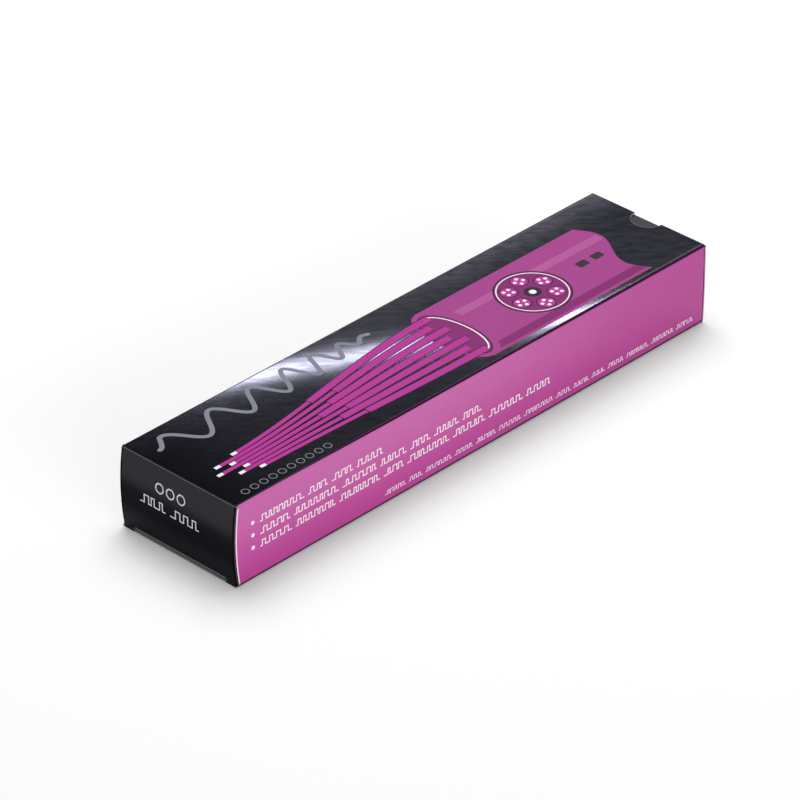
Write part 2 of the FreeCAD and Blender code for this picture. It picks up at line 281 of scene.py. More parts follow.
def makeInkDensity():
    # uneven ink: slow changes of density and fine specks, which also change its roughness
    tree, given, out = makeGroup("inkDensity", ("Place", "Slow", "Specks"), ("Factor", "Rough"))
    factor, specks = 1.0, noise(given["Place"], *inkLook["specks"])
    for pattern, amount in ((noise(given["Place"], *inkLook["slow"]), "Slow"), (specks, "Specks")):
        factor = addProduct(minus(pattern, inkLook["noiseMiddle"]), given[amount], factor)
    put(out["Factor"], factor)
    put(out["Rough"], specks)
    return tree


backLook = {
    "fibres": (1.1, 4.0, 0.65, 0.8),
    "fibresDrawn": (20, (3.0, 0.5, 0.5)),
    "fibreTone": (0.5, 0.75),  # share of the pattern, and what is added to it
    "fibreHeight": 0.02,
    "flecks": (0.9, 2.0, 0.5),
    "fleckTone": (0.66, 0.74, 1.0, 0.55),
}


def makeBoardBack():
    # grey unprinted back of the board: short fibres, and darker flecks of recycled stock
    look = backLook
    tree, given, out = makeGroup("boardBack", ("Place", "Colour"), ("Colour", "Height"))
    fibres = noise(stretched(given["Place"], *look["fibresDrawn"]), *look["fibres"])
    flecks = noise(given["Place"], *look["flecks"])
    tone = product(addProduct(fibres, *look["fibreTone"]), ramp(flecks, *look["fleckTone"]))
    put(out["Colour"], blend(1.0, given["Colour"], tone, "MULTIPLY"))
    put(out["Height"], product(fibres, look["fibreHeight"]))
    return tree


layerDepth = {"print": 0.05, "liner": 0.14, "back": carton["board"] - 0.05}


def makeBoardLayers():
    # the board's layers at a depth below its printed face: print, a thin liner, the core and the back
    inputs, outputs = ("Depth", "Print", "Liner", "Core", "Back"), ("Colour", "Printed", "Bare")
    tree, given, out = makeGroup("boardLayers", inputs, outputs)
    printed = isLess(given["Depth"], layerDepth["print"])
    atBack = isMore(given["Depth"], layerDepth["back"])
    linerToCore = ramp(given["Depth"], layerDepth["print"], layerDepth["liner"])
    cut = blend(linerToCore, given["Liner"], given["Core"])
    colour = blend(atBack, cut, given["Back"])
    put(out["Colour"], blend(printed, colour, given["Print"]))
    put(out["Printed"], printed)
    put(out["Bare"], atBack)
    return tree


foilRelief = makeFoilRelief()
foldWearAndHighlight = makeFoldWear()
inkDensity = makeInkDensity()
boardBack = makeBoardBack()
boardLayers = makeBoardLayers()
print("shared node groups made")

# what the board's materials share
boardLook = {
    "back": (0.27, 0.27, 0.275),
    "bareRoughness": 0.85,
    # grey of wear and of painted highlights along folds
    "wearAndHighlight": (0.30, 0.30, 0.33),
    "scored": (0.002, 0.002, 0.002),
    "relief": {"Waves": 0.006, "Wrinkles": 0.0035, "Peel": 0.0002},
}

finish = {
    "gloss": 0.5,
    "dullGloss": 0.05,
    "inkGloss": 0.03,
    "glancing": (0.50, 0.50, 0.507),  # black ink over the foil keeps it dark at a glancing angle
}


def emptyMaterial(name, kinds):
    # a material with nodes of these kinds only
    material = bpy.data.materials.new(name)
    material.use_nodes = True
    tree = material.node_tree
    tree.nodes.clear()
    return material, [tree.nodes.new("ShaderNode" + kind) for kind in kinds]


def startMaterial(name, gloss=finish["gloss"]):
    # gives back the material, its shader and the place on the piece in millimetres
    kinds = "OutputMaterial", "BsdfPrincipled", "TexCoord", "VectorMath"
    material, (output, shader, coordinates, scaled) = emptyMaterial(name, kinds)
    put(output.inputs["Surface"], shader.outputs[0])
    fill(shader, {"Specular IOR Level": gloss, "Specular Tint": finish["glancing"]})
    scaled.operation = "SCALE"
    put(scaled.inputs[0], coordinates.outputs["Object"])
    put(scaled.inputs["Scale"], 1 / mm)
    return material, shader, scaled.outputs["Vector"]


def addBump(shader, height):
    node = newNode("Bump", height)
    fill(node, {"Strength": 1.0, "Distance": mm, "Height": height})
    put(shader.inputs["Normal"], node.outputs[0])


def addBoardBump(shader, relief, back, layers):
    # the foil's relief on the printed face, and the fibres' on the bare back
    height = product(relief["Height"], layers["Printed"])
    addBump(shader, addProduct(back["Height"], layers["Bare"], height))


def outsideFold(acrossA, acrossB, radius):
    # Signed distance from a rounded corner's outside, with acrossA and acrossB measured from its centre:
    # the root of the squares of both where they are positive, plus the greater where both are negative,
    # minus the radius.
    reach = hypotenuse(greater(acrossA, 0.0), greater(acrossB, 0.0))
    inside = calc("MINIMUM", greater(acrossA, acrossB), 0.0)
    return minus(calc("ADD", reach, inside), radius)


def bowOffset(z, bow):
    # how far the bowed face lies inside the plane of its creases:
    # radius - bow - sqrt(radius^2 - (z - middle)^2)
    radius = bowRadius(bow)
    up = minus(z, bowMiddle)
    under = greater(minus(radius**2, product(up, up)), 0.0)
    return minus(radius - bow, calc("SQRT", under))


tubeLook = {
    "blackFoil": (0.0070, 0.0075, 0.0095),
    # painted reflection: the lighter colour that the black foil is blended towards
    "paintedFoilSheen": (0.120, 0.120, 0.152),
    "foilRoughness": 0.055,
    "magenta": (0.485, 0.034, 0.290),
    "magentaFar": (0.435, 0.040, 0.268),
    "farther": (-40.0, 110.0),  # ramp along the carton, from the first magenta to the second
    "magentaRoughness": 0.27,
    "density": {"Slow": 0.10, "Specks": 0.035},
    "speckRoughness": 0.015,
    "sideSheen": (0.90, 0.55, 0.86),  # painted sheen on the sides, higher up and towards the near end
    "sideSheenUp": (4.0, 30.0, 0.025, 0.15),
    "sideSheenAlong": (-30.0, 110.0, 1.0, 0.06),
    "sideInk": 0.42,  # how far below the front panel's face, at a long fold, the magenta starts
    "footInk": 1.15,  # and how far above the back panel's face it ends
    "inkEdge": 0.06,
    "hingeMargin": 1.0,  # the hinges are black up to this far from the closing panels' side edges
    "overprint": (0.030, 0.004, 0.026),
    "overprintFrom": (-0.22, -0.14),  # ramp past where the long folds start
    "thinning": (-100.0, -35.0, 1.0, 0.0),  # of the overlap, towards the near end
    "thinLift": 0.3,  # how far the magenta comes up where the overlap is thinnest
    "thinShift": -0.5,  # and how far the overlap draws back
    "liner": (0.80, 0.79, 0.78),
    "core": (0.24, 0.24, 0.245),
    "rubAndHighlightLine": 0.5,  # middle of the painted highlight lines, in from where the long folds start
    "rubAndHighlight": {"Width": 0.42, "Patches": 0.3},
    "highlightAlong": (40.0, 95.0, 0.0, 0.45),
    "highlightBelow": 0.3,  # of the front and back faces
    "score": (1.15, 1.45, 1.0, 0.0),  # ramp from the plane of the near end's creases
    "scoreDepth": 0.12,
    "scoreStrength": 0.7,
    "crackedCreaseAndHighlight": (1.0, 0.84, 0.95),
    "crackAndHighlight": (0.44, 0.62),  # ramp past where both folds start
    # painted shade of the gap behind the near closing panel
    "gap": (0.012, 0.004, 0.010),
    "gapShadeFrom": (0.16, 0.30),  # ramp by how much farther a point lies past the end's fold than the side's
    "gapShadeSide": (-0.2, 0.1),  # ramp past the start of the side's fold
    "rimWidth": 0.16,
    "rimDepth": 0.2,
    "rimStrength": 0.7,
    "lipReach": 0.3,  # of the near end's free edge, past the plane of the creases
    "lipHeight": 0.55,
    "thrown": (0.11, 0.11, 0.11),
    "thrownShare": 0.85,
    "dullFold": (0.05, 0.4),  # ramp past the start of the far end's fold
}


def measureTube(at):
    # Adds to at: distance up from the middle, below the nearer of the front and back faces, past the
    # starts of the side's and the end's folds, from the near end's plane, and depth below the print.
    middle, fold = carton["height"] / 2, carton["foldRadius"]
    at.upward = minus(at.z, middle)
    level = unsigned(at.upward)
    at.below = minus(middle, level)
    at.fromNear = minus(at.x, carton["nearPlane"])
    at.fromSide = minus(unsigned(at.y), carton["halfWidth"] - fold)
    depth = outsideFold(at.fromSide, minus(level, middle - fold), fold)
    # the far end is the near end turned over, so its height is measured down from the front panel
    flipped = minus(carton["height"], at.z)
    nearBow, farBow = bowOffset(at.z, carton["nearBow"]), bowOffset(flipped, carton["farBow"])
    nearFace = calc("ADD", nearBow, carton["nearPlane"] + carton["dustFace"])
    farFace = minus(carton["farPlane"] - carton["dustFace"], farBow)
    beyond = greater(minus(nearFace, at.x), minus(at.x, farFace))
    at.fromEnd = calc("ADD", beyond, fold)
    # the closing panels' hinges: at the top of the near end, and at the foot of the far end
    nearOut = minus(carton["nearPlane"] + fold, at.x)
    nearHinge = outsideFold(nearOut, minus(at.upward, middle - fold), fold)
    farOut = minus(at.x, carton["farPlane"] - fold)
    farHinge = outsideFold(farOut, minus(fold - middle, at.upward), fold)
    depth = greater(depth, greater(nearHinge, farHinge))
    at.flapZone = isLess(level, middle - carton["dustEdge"])
    withFlap = greater(depth, outsideFold(at.fromSide, at.fromEnd, fold))
    at.depth = product(choose(at.flapZone, depth, withFlap), -1.0)


def printTube(at, relief, ink):
    # black foil on the front and back panels, magenta on the sides, and where they overlap, overprint
    look = tubeLook
    offHinges = isMore(unsigned(at.y), carton["panelHalf"] - look["hingeMargin"])
    inSide = greater(offHinges, isMore(at.below, carton["dustEdge"]))
    atFoot = isLess(at.upward, 0.0)
    fromFold = minus(at.below, product(atFoot, look["footInk"] - look["sideInk"]))
    # towards the near end the magenta comes up round the fold, and the overlap thins out
    pastCrease = isMore(at.fromNear, carton["foldRadius"])
    thinner = product(ramp(at.x, *look["thinning"]), rest(atFoot), pastCrease)
    fromFold = addProduct(thinner, look["thinLift"], fromFold)
    start = addProduct(thinner, look["thinShift"], at.fromSide)
    sides = product(ramp(fromFold, look["sideInk"], look["sideInk"] + look["inkEdge"]), inSide)
    overlap = product(ramp(start, *look["overprintFrom"]), rest(sides))
    # painted reflection: the black foil is lightened towards its glint colour
    foil = blend(relief["PaintedSheen"], look["blackFoil"], look["paintedFoilSheen"])
    magenta = blend(ramp(at.x, *look["farther"]), look["magenta"], look["magentaFar"])
    # painted sheen: the magenta is paler higher up the sides and towards the near end
    sideSheen = product(ramp(at.z, *look["sideSheenUp"]), ramp(at.x, *look["sideSheenAlong"]))
    magenta = blend(sideSheen, magenta, look["sideSheen"])
    magenta = blend(1.0, magenta, ink["Factor"], "MULTIPLY")
    colour = blend(overlap, blend(sides, foil, magenta), look["overprint"])
    return colour, sides, overlap


def wearTube(place, at, colour):
    look = tubeLook
    top, wearAndHighlight = carton["height"] / 2, boardLook["wearAndHighlight"]
    # painted highlight: a faint, patchy grey line along the black folds, towards the far end
    foldLine = unsigned(calc("ADD", at.fromSide, look["rubAndHighlightLine"]))
    rubAndHighlight = useGroup(foldWearAndHighlight, Place=place, Distance=foldLine, **look["rubAndHighlight"])
    black = isLess(at.below, look["highlightBelow"])
    foldHighlight = product(rubAndHighlight["Mask"], ramp(at.x, *look["highlightAlong"]), black)
    colour = blend(foldHighlight, colour, wearAndHighlight)
    # the scored line before the near hinge is darker, because the foil there tips away from the light
    atTop = isMore(at.upward, top - look["scoreDepth"])
    score = product(ramp(at.fromNear, *look["score"]), atTop, look["scoreStrength"])
    colour = blend(score, colour, boardLook["scored"])
    # painted shade: past its cracked line, the near dust flaps' fold is darkened into the shaded gap
    # behind the closing panel
    nearFold = product(at.flapZone, isLess(at.x, 0.0))
    gap = ramp(minus(at.fromEnd, at.fromSide), *look["gapShadeFrom"])
    gap = product(gap, nearFold, ramp(at.fromSide, *look["gapShadeSide"]))
    colour = blend(gap, colour, look["gap"])
    # the thumb notch's rim is lighter grey
    fromNotch = hypotenuse(minus(at.x, carton["farPlane"] - carton["lipSetback"]), at.y)
    inRim = isLess(fromNotch, carton["notchRadius"] + look["rimWidth"])
    rim = product(inRim, isMore(at.upward, top - look["rimDepth"]), look["rimStrength"])
    colour = blend(rim, colour, wearAndHighlight)
    # down the near dust flaps' creases the print has cracked, and the pale line there is also a painted
    # highlight
    crackAndHighlight = product(ramp(calc("MINIMUM", at.fromSide, at.fromEnd), *look["crackAndHighlight"]), nearFold)
    return blend(crackAndHighlight, colour, look["crackedCreaseAndHighlight"])


def makeTubeMaterial():
    look = tubeLook
    material, shader, place = startMaterial("tube_board")
    at = axes(place)
    measureTube(at)
    ink = useGroup(inkDensity, Place=place, **look["density"])
    relief = useGroup(foilRelief, Place=place, **boardLook["relief"])
    colour, sides, overlap = printTube(at, relief, ink)
    colour = wearTube(place, at, colour)
    back = useGroup(boardBack, Place=place, Colour=boardLook["back"])
    colours = {"Print": colour, "Liner": look["liner"], "Core": look["core"], "Back": back["Colour"]}
    layers = useGroup(boardLayers, Depth=at.depth, **colours)
    # the near end's free edge is bare along the tuck fold
    lip = product(
        isLess(at.fromNear, look["lipReach"]), isLess(at.z, look["lipHeight"]),
        isLess(unsigned(at.y), carton["tuckHalf"]),
    )
    seen = blend(lip, layers["Colour"], boardLook["back"])
    # the light that the carton throws on the floor has little of its colour
    thrown = product(newNode("LightPath", place).outputs["Is Diffuse Ray"], look["thrownShare"])
    black = product(layers["Printed"], rest(greater(sides, overlap)), rest(lip))
    # the overlapping inks and the far end's folds are dull
    farFold = product(at.flapZone, isMore(at.x, 0.0), ramp(at.fromEnd, *look["dullFold"]))
    dull = greater(overlap, farFold)
    printedRough = choose(black, look["magentaRoughness"], look["foilRoughness"])
    printedRough = addProduct(ink["Rough"], look["speckRoughness"], printedRough)
    fill(shader, {
        "Base Color": blend(thrown, seen, look["thrown"]),
        "Metallic": black,
        "Specular IOR Level": choose(dull, finish["gloss"], finish["dullGloss"]),
        "Roughness": choose(layers["Printed"], boardLook["bareRoughness"], printedRough),
    })
    addBoardBump(shader, relief, back, layers)
    return material


endLook = {
    # painted reflection: the foil is lighter near the hinge and near the tuck fold than in the middle
    "foil": (0.0310, 0.0310, 0.0345),  # near the hinge
    "foilMiddle": (0.0100, 0.0104, 0.0120),
    "foilPaintedReflectionLow": (0.0250, 0.0260, 0.0300),  # and near the tuck fold
    "paintedReflectionLowToMiddle": (4.0, 12.0),  # ramps up from the tucked side
    "paintedReflectionMiddleToHigh": (16.5, 23.5),
    "foilRoughness": 0.18,
    "relief": {"Waves": 0.010, "Wrinkles": 0.003, "Peel": 0.0003},
    "margin": (-0.75, -0.5),  # ramp from the panels' side edges, to the scored colour
    "rubAndHighlightLine": 0.3,  # middle of the worn line with its painted highlight, down from the hinge's top
    "rubAndHighlight": {"Width": 0.24, "Patches": 0.35},
    "rubAndHighlightStrength": 0.62,
    "bareBelow": 0.05,  # the start of the tuck fold
    "bareFoldFar": (0.038, 0.038, 0.049),
    "nearCore": (0.030, 0.020, 0.028),
    "farCore": (0.62, 0.28, 0.48),
    "run": (0.42, 0.040, 0.26),  # ink that has run over the panels' side edges
    "runWidth": (-0.8, -0.5),  # ramp from the panels' side edges
}


def measureEnd(at):
    # Adds to at, for whichever end a point is at: nearSide, which is one at the near end, distance up
    # from the tucked side, in from the plane of the creases, and depth below the printed face.
    at.nearSide = isLess(at.x, 0.0)
    at.up = choose(at.nearSide, minus(carton["height"], at.z), at.z)
    fromFar, fromNear = minus(carton["farPlane"], at.x), minus(at.x, carton["nearPlane"])
    at.into = choose(at.nearSide, fromFar, fromNear)
    bows = (bowOffset(at.up, carton[name]) for name in ("farBow", "nearBow"))
    depth = minus(at.into, choose(at.nearSide, *bows))
    folds = (
        (carton["foldRadius"], isMore(at.up, bowHigh), minus(at.up, bowHigh)),
        (carton["tuckRadius"], isLess(at.up, bowLow), minus(bowLow, at.up)),
    )
    for radius, inFold, past in folds:
        outside = outsideFold(minus(radius, at.into), past, radius)
        depth = choose(inFold, depth, product(outside, -1.0))
    at.depth = depth


def makeEndMaterial(name):
    # the closing panels and their tongues: black foil outside, down to the tuck fold; a bare grey fold
    # and tongue; grey inside; and cut edges that the ink has tinted
    look = endLook
    material, shader, place = startMaterial(name)
    at = axes(place)
    measureEnd(at)
    aside = unsigned(at.y)
    pastEdge = minus(aside, carton["panelHalf"])
    relief = useGroup(foilRelief, Place=place, **look["relief"])
    # painted reflection: the foil's colour changes with height, lighter near the hinge and the tuck fold
    foil = blend(ramp(at.up, *look["paintedReflectionLowToMiddle"]), look["foilPaintedReflectionLow"], look["foilMiddle"])
    foil = blend(ramp(at.up, *look["paintedReflectionMiddleToHigh"]), foil, look["foil"])
    foil = blend(ramp(pastEdge, *look["margin"]), foil, boardLook["scored"])
    # along the hinge's crease a grey line, partly wear and partly a painted highlight
    foldLine = unsigned(minus(carton["height"] - look["rubAndHighlightLine"], at.up))
    rubAndHighlight = useGroup(foldWearAndHighlight, Place=place, Distance=foldLine, **look["rubAndHighlight"])
    foil = blend(product(rubAndHighlight["Mask"], look["rubAndHighlightStrength"]), foil, boardLook["wearAndHighlight"])
    # the foil stops at the tuck fold: the fold and the tongue are bare board
    inTongue = isMore(at.into, carton["tuckRadius"])
    bare = greater(isLess(aside, carton["tuckHalf"]), inTongue)
    bare = product(bare, isLess(at.up, bowLow - look["bareBelow"]))
    bareColour = blend(at.nearSide, look["bareFoldFar"], boardLook["back"])
    back = useGroup(boardBack, Place=place, Colour=boardLook["back"])
    core = blend(at.nearSide, look["farCore"], look["nearCore"])
    behind = blend(ramp(pastEdge, *look["runWidth"]), back["Colour"], look["run"])
    colours = {"Print": blend(bare, foil, bareColour), "Liner": core, "Core": core, "Back": behind}
    layers = useGroup(boardLayers, Depth=at.depth, **colours)
    foiled = product(layers["Printed"], rest(bare))
    roughness = choose(foiled, boardLook["bareRoughness"], look["foilRoughness"])
    fill(shader, {"Base Color": layers["Colour"], "Metallic": foiled, "Roughness": roughness})
    addBoardBump(shader, relief, back, layers)
    return material


boards = (
    (makeTubeMaterial(), ("carton_tube",)),
    (makeEndMaterial("end_board"), ("near_closing_panel", "far_closing_panel")),
    (makeEndMaterial("tongue_board"), ("near_tuck_tongue", "far_tuck_tongue")),
)
for material, names in boards:
    for node in (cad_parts[name] for name in names):
        if not node.material_slots:
            node.data.materials.append(material)
        for slot in node.material_slots:
            slot.material = material
print("board materials made")

inks = {
    # colour and roughness
    "magentaField": ((0.362, 0.061, 0.252), 0.5),
    "brightField": ((0.45, 0.040, 0.30), 0.5),
    "paleField": ((0.43, 0.105, 0.31), 0.5),
    "deepField": ((0.225, 0.030, 0.150), 0.5),
    "darkLine": ((0.030, 0.010, 0.034), 0.35),
    "charcoalField": ((0.030, 0.027, 0.032), 0.4),
    "silverLine": ((0.23, 0.23, 0.28), 0.45),
    "greyLine": ((0.20, 0.20, 0.215), 0.45),
    "paleLine": ((0.84, 0.84, 0.87), 0.45),
    "whiteInk": ((0.93, 0.86, 0.91), 0.4),
}
inkFilm = {"density": {"Slow": 0.12, "Specks": 0.05}, "speckRoughness": 0.08}


def makeInk(name, colour, roughness):
    material, shader, place = startMaterial(name, finish["inkGloss"])
    ink = useGroup(inkDensity, Place=place, **inkFilm["density"])
    relief = useGroup(foilRelief, Place=place, **boardLook["relief"])
    smoothest = roughness - inkFilm["speckRoughness"] / 2
    fill(shader, {
        "Base Color": blend(1.0, colour, ink["Factor"], "MULTIPLY"),
        "Roughness": addProduct(ink["Rough"], inkFilm["speckRoughness"], smoothest),
    })
    addBump(shader, relief["Height"])
    return material


inkMaterials = {name: makeInk(name, *values) for name, values in inks.items()}

# A motif is drawn flat, u along its panel and v up it. Each film is a thin closed ribbon whose sections
# are rectangles from just inside the board to the ink's top.
inkTop = {"field": 0.014, "shade": 0.018, "mark": 0.021, "line": 0.024, "over": 0.028}
inkRoot = -0.006


def onFront(u, v, h):
    return np.stack([u, v, carton["height"] + h], axis=-1)


def onSide(u, v, h):
    return np.stack([u, -carton["halfWidth"] - h, v], axis=-1)


def onSeamSide(u, v, h):
    return np.stack([-u, carton["halfWidth"] + h, v], axis=-1)


def faceOf(plane, bow, way, up):
    # where a bowed closing panel's outside is at a height:
    # plane + way * (sqrt(radius^2 - (up - middle)^2) - radius + bow)
    radius = bowRadius(bow)
    return plane + way * (np.sqrt(radius**2 - (up - bowMiddle) ** 2) - radius + bow)


def onNearEnd(u, v, h):
    return np.stack([faceOf(carton["nearPlane"], carton["nearBow"], -1, v) - h, -u, v], axis=-1)


def onFarEnd(u, v, h):
    up = carton["height"] - v
    return np.stack([faceOf(carton["farPlane"], carton["farBow"], 1, up) + h, u, v], axis=-1)


def ribbon(left, right, ink="line", closed=False):
    # a film between two edges, with its ink's height
    return np.asarray(left, float), np.asarray(right, float), inkTop[ink], closed


def directions(path):
    # the unit way along each stretch
    run = np.diff(path, axis=0)
    return run / np.linalg.norm(run, axis=1, keepdims=True)


def stroke(path, width, ink="line"):
    # both edges of a line, whose width is one number or a column of one for each point: a point moves
    # out along its two neighbours' normals, added up and divided by one plus their dot product
    path = np.asarray(path, float)
    run = directions(path)
    normal = np.stack([-run[:, 1], run[:, 0]], axis=1)
    before, after = np.vstack([normal[:1], normal]), np.vstack([normal, normal[-1:]])
    reach = (before + after) / (1 + (before * after).sum(axis=1, keepdims=True)) * width / 2
    return ribbon(path + reach, path - reach, ink)


def roundStroke(path, width, ink="line", steps=6, narrowest=0.04):
    # a line with round ends: its width follows half a circle over the first and last half width
    run = directions(path)
    angle = np.linspace(0, np.pi / 2, steps + 1)[:-1]
    out = np.cos(angle)[:, None] * width / 2
    whole = np.vstack([path[0] - run[0] * out, path, (path[-1] + run[-1] * out)[::-1]])
    share = np.concatenate([np.sin(angle), np.ones(len(path)), np.sin(angle)[::-1]])
    return stroke(whole, width * np.maximum(share, narrowest)[:, None], ink)


def around(spot, radii, count, turn=0.0):
    # evenly turned spots on a circle or, with two radii, an ellipse; and their angles
    angles = np.arange(count) * 2 * np.pi / count + turn
    return spot + radii * np.stack([np.cos(angles), np.sin(angles)], axis=1), angles


def ring(spot, radii, width, ink="line", count=48):
    # a closed line round a circle or an ellipse
    radii = np.asarray(radii)
    edges = (around(spot, radii + side * width / 2, count)[0] for side in (-1, 1))
    return ribbon(*edges, ink, closed=True)


def mirrored(spot, across, rise, ink):
    # a filled shape between its upper edge and that edge's mirror image in the level line at the spot
    edges = (np.stack([spot[0] + across, spot[1] + side * rise], axis=1) for side in (1, -1))
    return ribbon(*edges, ink)


def disc(spot, radii, ink="field", count=40, tip=0.02):
    # a filled circle or ellipse at evenly turned steps, from one tip angle to the other
    alongRadius, upRadius = np.broadcast_to(radii, 2)
    angle = np.linspace(tip, np.pi - tip, count)
    return mirrored(spot, -np.cos(angle) * alongRadius, np.sin(angle) * upRadius, ink)


def roundedBar(spot, halfLength, halfHeight, corner, ink="over", count=10, tip=0.03):
    # a filled rectangle whose corners are quarter circles
    angle = np.linspace(tip, np.pi / 2, count)
    rise = halfHeight - corner + corner * np.sin(angle)
    start = -halfLength + corner - corner * np.cos(angle)
    return mirrored(spot, np.concatenate([start, -start[::-1]]), np.concatenate([rise, rise[::-1]]), ink)


def addObject(name, data):
    thing = bpy.data.objects.new(name, data)
    bpy.context.scene.collection.objects.link(thing)
    return thing


def addMesh(name, points, faces, material):
    mesh = bpy.data.meshes.new(name)
    mesh.from_pydata(points.tolist(), [], faces.tolist())
    mesh.update()
    mesh.materials.append(material)
    return addObject(name, mesh)


def makePrint(name, films, inkName, place=onFront, body="tube"):
    # every film's sections become four rows of vertices, joined all round, with its two ends closed
    points, faces, start = [], [], 0
    for left, right, top, closed in films:
        count = len(left)
        corners = np.stack([left, right, right, left], axis=1)
        level = np.broadcast_to(np.array([top, top, inkRoot, inkRoot]), (count, 4))
        points.append(place(corners[..., 0], corners[..., 1], level).reshape(-1, 3))
        index = start + np.arange(count * 4).reshape(count, 4)
        here, after = (index, np.roll(index, -1, axis=0)) if closed else (index[:-1], index[1:])
        quads = np.stack([here, np.roll(here, -1, axis=1), np.roll(after, -1, axis=1), after], axis=-1)
        faces.append(quads.reshape(-1, 4))
        if not closed:
            faces.append(np.array([index[0][::-1], index[-1]]))
        start += count * 4
    piece = addMesh(name, np.vstack(points) * mm, np.vstack(faces), inkMaterials[inkName])
    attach(piece, body)


# The front panel: a stripped cable, with its jacket at the far end and its bare fibres at the near end.
# Shares are of the jacket's or the cut face's half size.
cable = {
    "axis": -4.6,
    "jacketFrom": 11.0,
    "jacketTo": 91.0,
    "jacketHalf": 18.6,
    "breakDepth": 4.0,  # of the wavy line where the drawing of the jacket breaks off
    "bands": {  # from and to a share up the jacket, the inset and the ink
        "light": (0.36, 0.56, 3.0, "paleField"),
        "shade": (-0.93, -0.72, 1.2, "deepField"),
    },
    "farInset": 0.4,  # share of a band's inset that it has at the break
    "faceHalf": 8.6,  # the cut face, seen at a slant
    "faceInner": 0.86,  # inside the jacket's wall
    "wallLine": 0.5,
    "tubes": 7,
    "tubeRoots": (1.5, -2.5),  # from the cut face, by turns
    "tubeEnd": -50.0,
    "tubeEndsBy": (6.0, -3.0, 2.5, -7.5, 0.0, 7.0, -4.0),
    "tubeSpacing": 4.5,
    "tubeWidth": 3.5,
    "tubeTaper": 0.82,  # share of the width at the tube's end
    "fibreEnd": -99.0,
    "fibreEndsBy": (9.0, 1.5, 5.5, -4.5, 3.0, -2.0, 7.5),
    "fibreAxis": -9.6,
    "fibreSpacing": 1.95,
    "fibreWidth": 1.6,
    "fibreInside": 3.0,  # how far a fibre reaches into its tube
    "tip": 2.4,
    "tipWidth": 1.44,
    "outline": 0.34,
    "points": {"jacket": 41, "band": 9, "wall": 72, "fibre": 110, "yarn": 60},
    "yarn": (0.76, 0.78),  # shares of the face, along and up
    "yarnTurn": 0.46 * math.pi,  # to each side
    "yarnWidth": 0.55,
    "marksAt": (76.0, 83.5),
    "marksUp": 0.5,
    "markShape": (2.4, 1.7, 0.7),  # half length, half height and corner
}


def faceBulge(share):
    # the cut face's half ellipse: half * sqrt(1 - share^2)
    return cable["faceHalf"] * np.sqrt(np.maximum(1 - share**2, 0))


def breakWave(share):
    # one wave: depth * sin(pi * share)
    return cable["breakDepth"] * np.sin(np.pi * share)


def acrossJacket(share, along):
    # a line across the jacket, at shares of its half width
    return np.stack([along, cable["axis"] + share * cable["jacketHalf"]], axis=1)


def makeJacket():
    plan, points = cable, cable["points"]
    share = np.linspace(-1, 1, points["jacket"])
    near = acrossJacket(share, plan["jacketFrom"] - faceBulge(share))
    far = acrossJacket(share, plan["jacketTo"] + breakWave(share))
    makePrint("cable_jacket_print", [ribbon(near, far, "field")], "magentaField")
    # a lighter band and a deeper one along the jacket
    for name, (low, top, inset, inkName) in plan["bands"].items():
        share = np.linspace(low, top, points["band"])
        start = acrossJacket(share, plan["jacketFrom"] + faceBulge(share) + inset)
        stop = acrossJacket(share, plan["jacketTo"] + breakWave(share) - inset * plan["farInset"])
        makePrint(f"cable_{name}_print", [ribbon(start, stop, "shade")], inkName)
    centre = plan["jacketFrom"], plan["axis"]
    inner = plan["faceInner"] * np.array([plan["faceHalf"], plan["jacketHalf"]])
    makePrint("cable_face_print", [disc(centre, inner, "shade")], "deepField")
    return [ring(centre, inner, plan["wallLine"], "mark", points["wall"]), stroke(far, plan["outline"])]


def makeFibres():
    # tubes fan from the cut face, and each one's fibre runs on to its white tip
    plan = cable
    order = np.arange(plan["tubes"])
    roots = plan["jacketFrom"] + np.array(plan["tubeRoots"])[order % 2]
    stops = plan["tubeEnd"] + np.array(plan["tubeEndsBy"])
    tips = plan["fibreEnd"] + np.array(plan["fibreEndsBy"])
    tubes, fibres, ends, lines = [], [], [], []
    for number, root, stop, tip in zip(order - order.mean(), roots, stops, tips):
        along = np.linspace(tip, root, plan["points"]["fibre"])
        share = np.clip((plan["jacketFrom"] - along) / (plan["jacketFrom"] - plan["fibreEnd"]), 0, 1)
        ease = share * share * (3 - 2 * share)
        inTube = plan["axis"] + number * plan["tubeSpacing"]
        atTip = plan["fibreAxis"] + number * plan["fibreSpacing"]
        line = np.stack([along, inTube * (1 - ease) + atTip * ease], axis=1)
        tube = line[along >= stop]
        taper = np.linspace(plan["tubeTaper"], 1.0, len(tube))[:, None]
        tubes.append(stroke(tube, plan["tubeWidth"] * taper))
        left, right = tubes[-1][:2]
        lines += [stroke(edge, plan["outline"], "over") for edge in (left, right, [left[0], right[0]])]
        fibres.append(stroke(line[along < stop + plan["fibreInside"]], plan["fibreWidth"], "field"))
        run = directions(line)[0]
        ends.append(stroke([line[0] - run * plan["tip"], line[0]], plan["tipWidth"], "field"))
    makePrint("cable_tubes_print", tubes, "brightField")
    makePrint("bare_fibres_print", fibres, "brightField")
    makePrint("fibre_tips_print", ends, "whiteInk")
    return lines


def makeCable():
    plan = cable
    jacketLines = makeJacket()
    makePrint("cable_outline_print", makeFibres() + jacketLines, "darkLine")
    angle = np.linspace(-plan["yarnTurn"], plan["yarnTurn"], plan["points"]["yarn"])
    along = plan["jacketFrom"] + plan["faceHalf"] * plan["yarn"][0] * np.cos(angle)
    yarn = acrossJacket(plan["yarn"][1] * np.sin(angle), along)
    makePrint("cable_yarn_print", [stroke(yarn, plan["yarnWidth"], "mark")], "whiteInk")
    marks = [roundedBar((u, plan["axis"] + plan["marksUp"]), *plan["markShape"]) for u in plan["marksAt"]]
    makePrint("cable_marks_print", marks, "charcoalField")


makeCable()

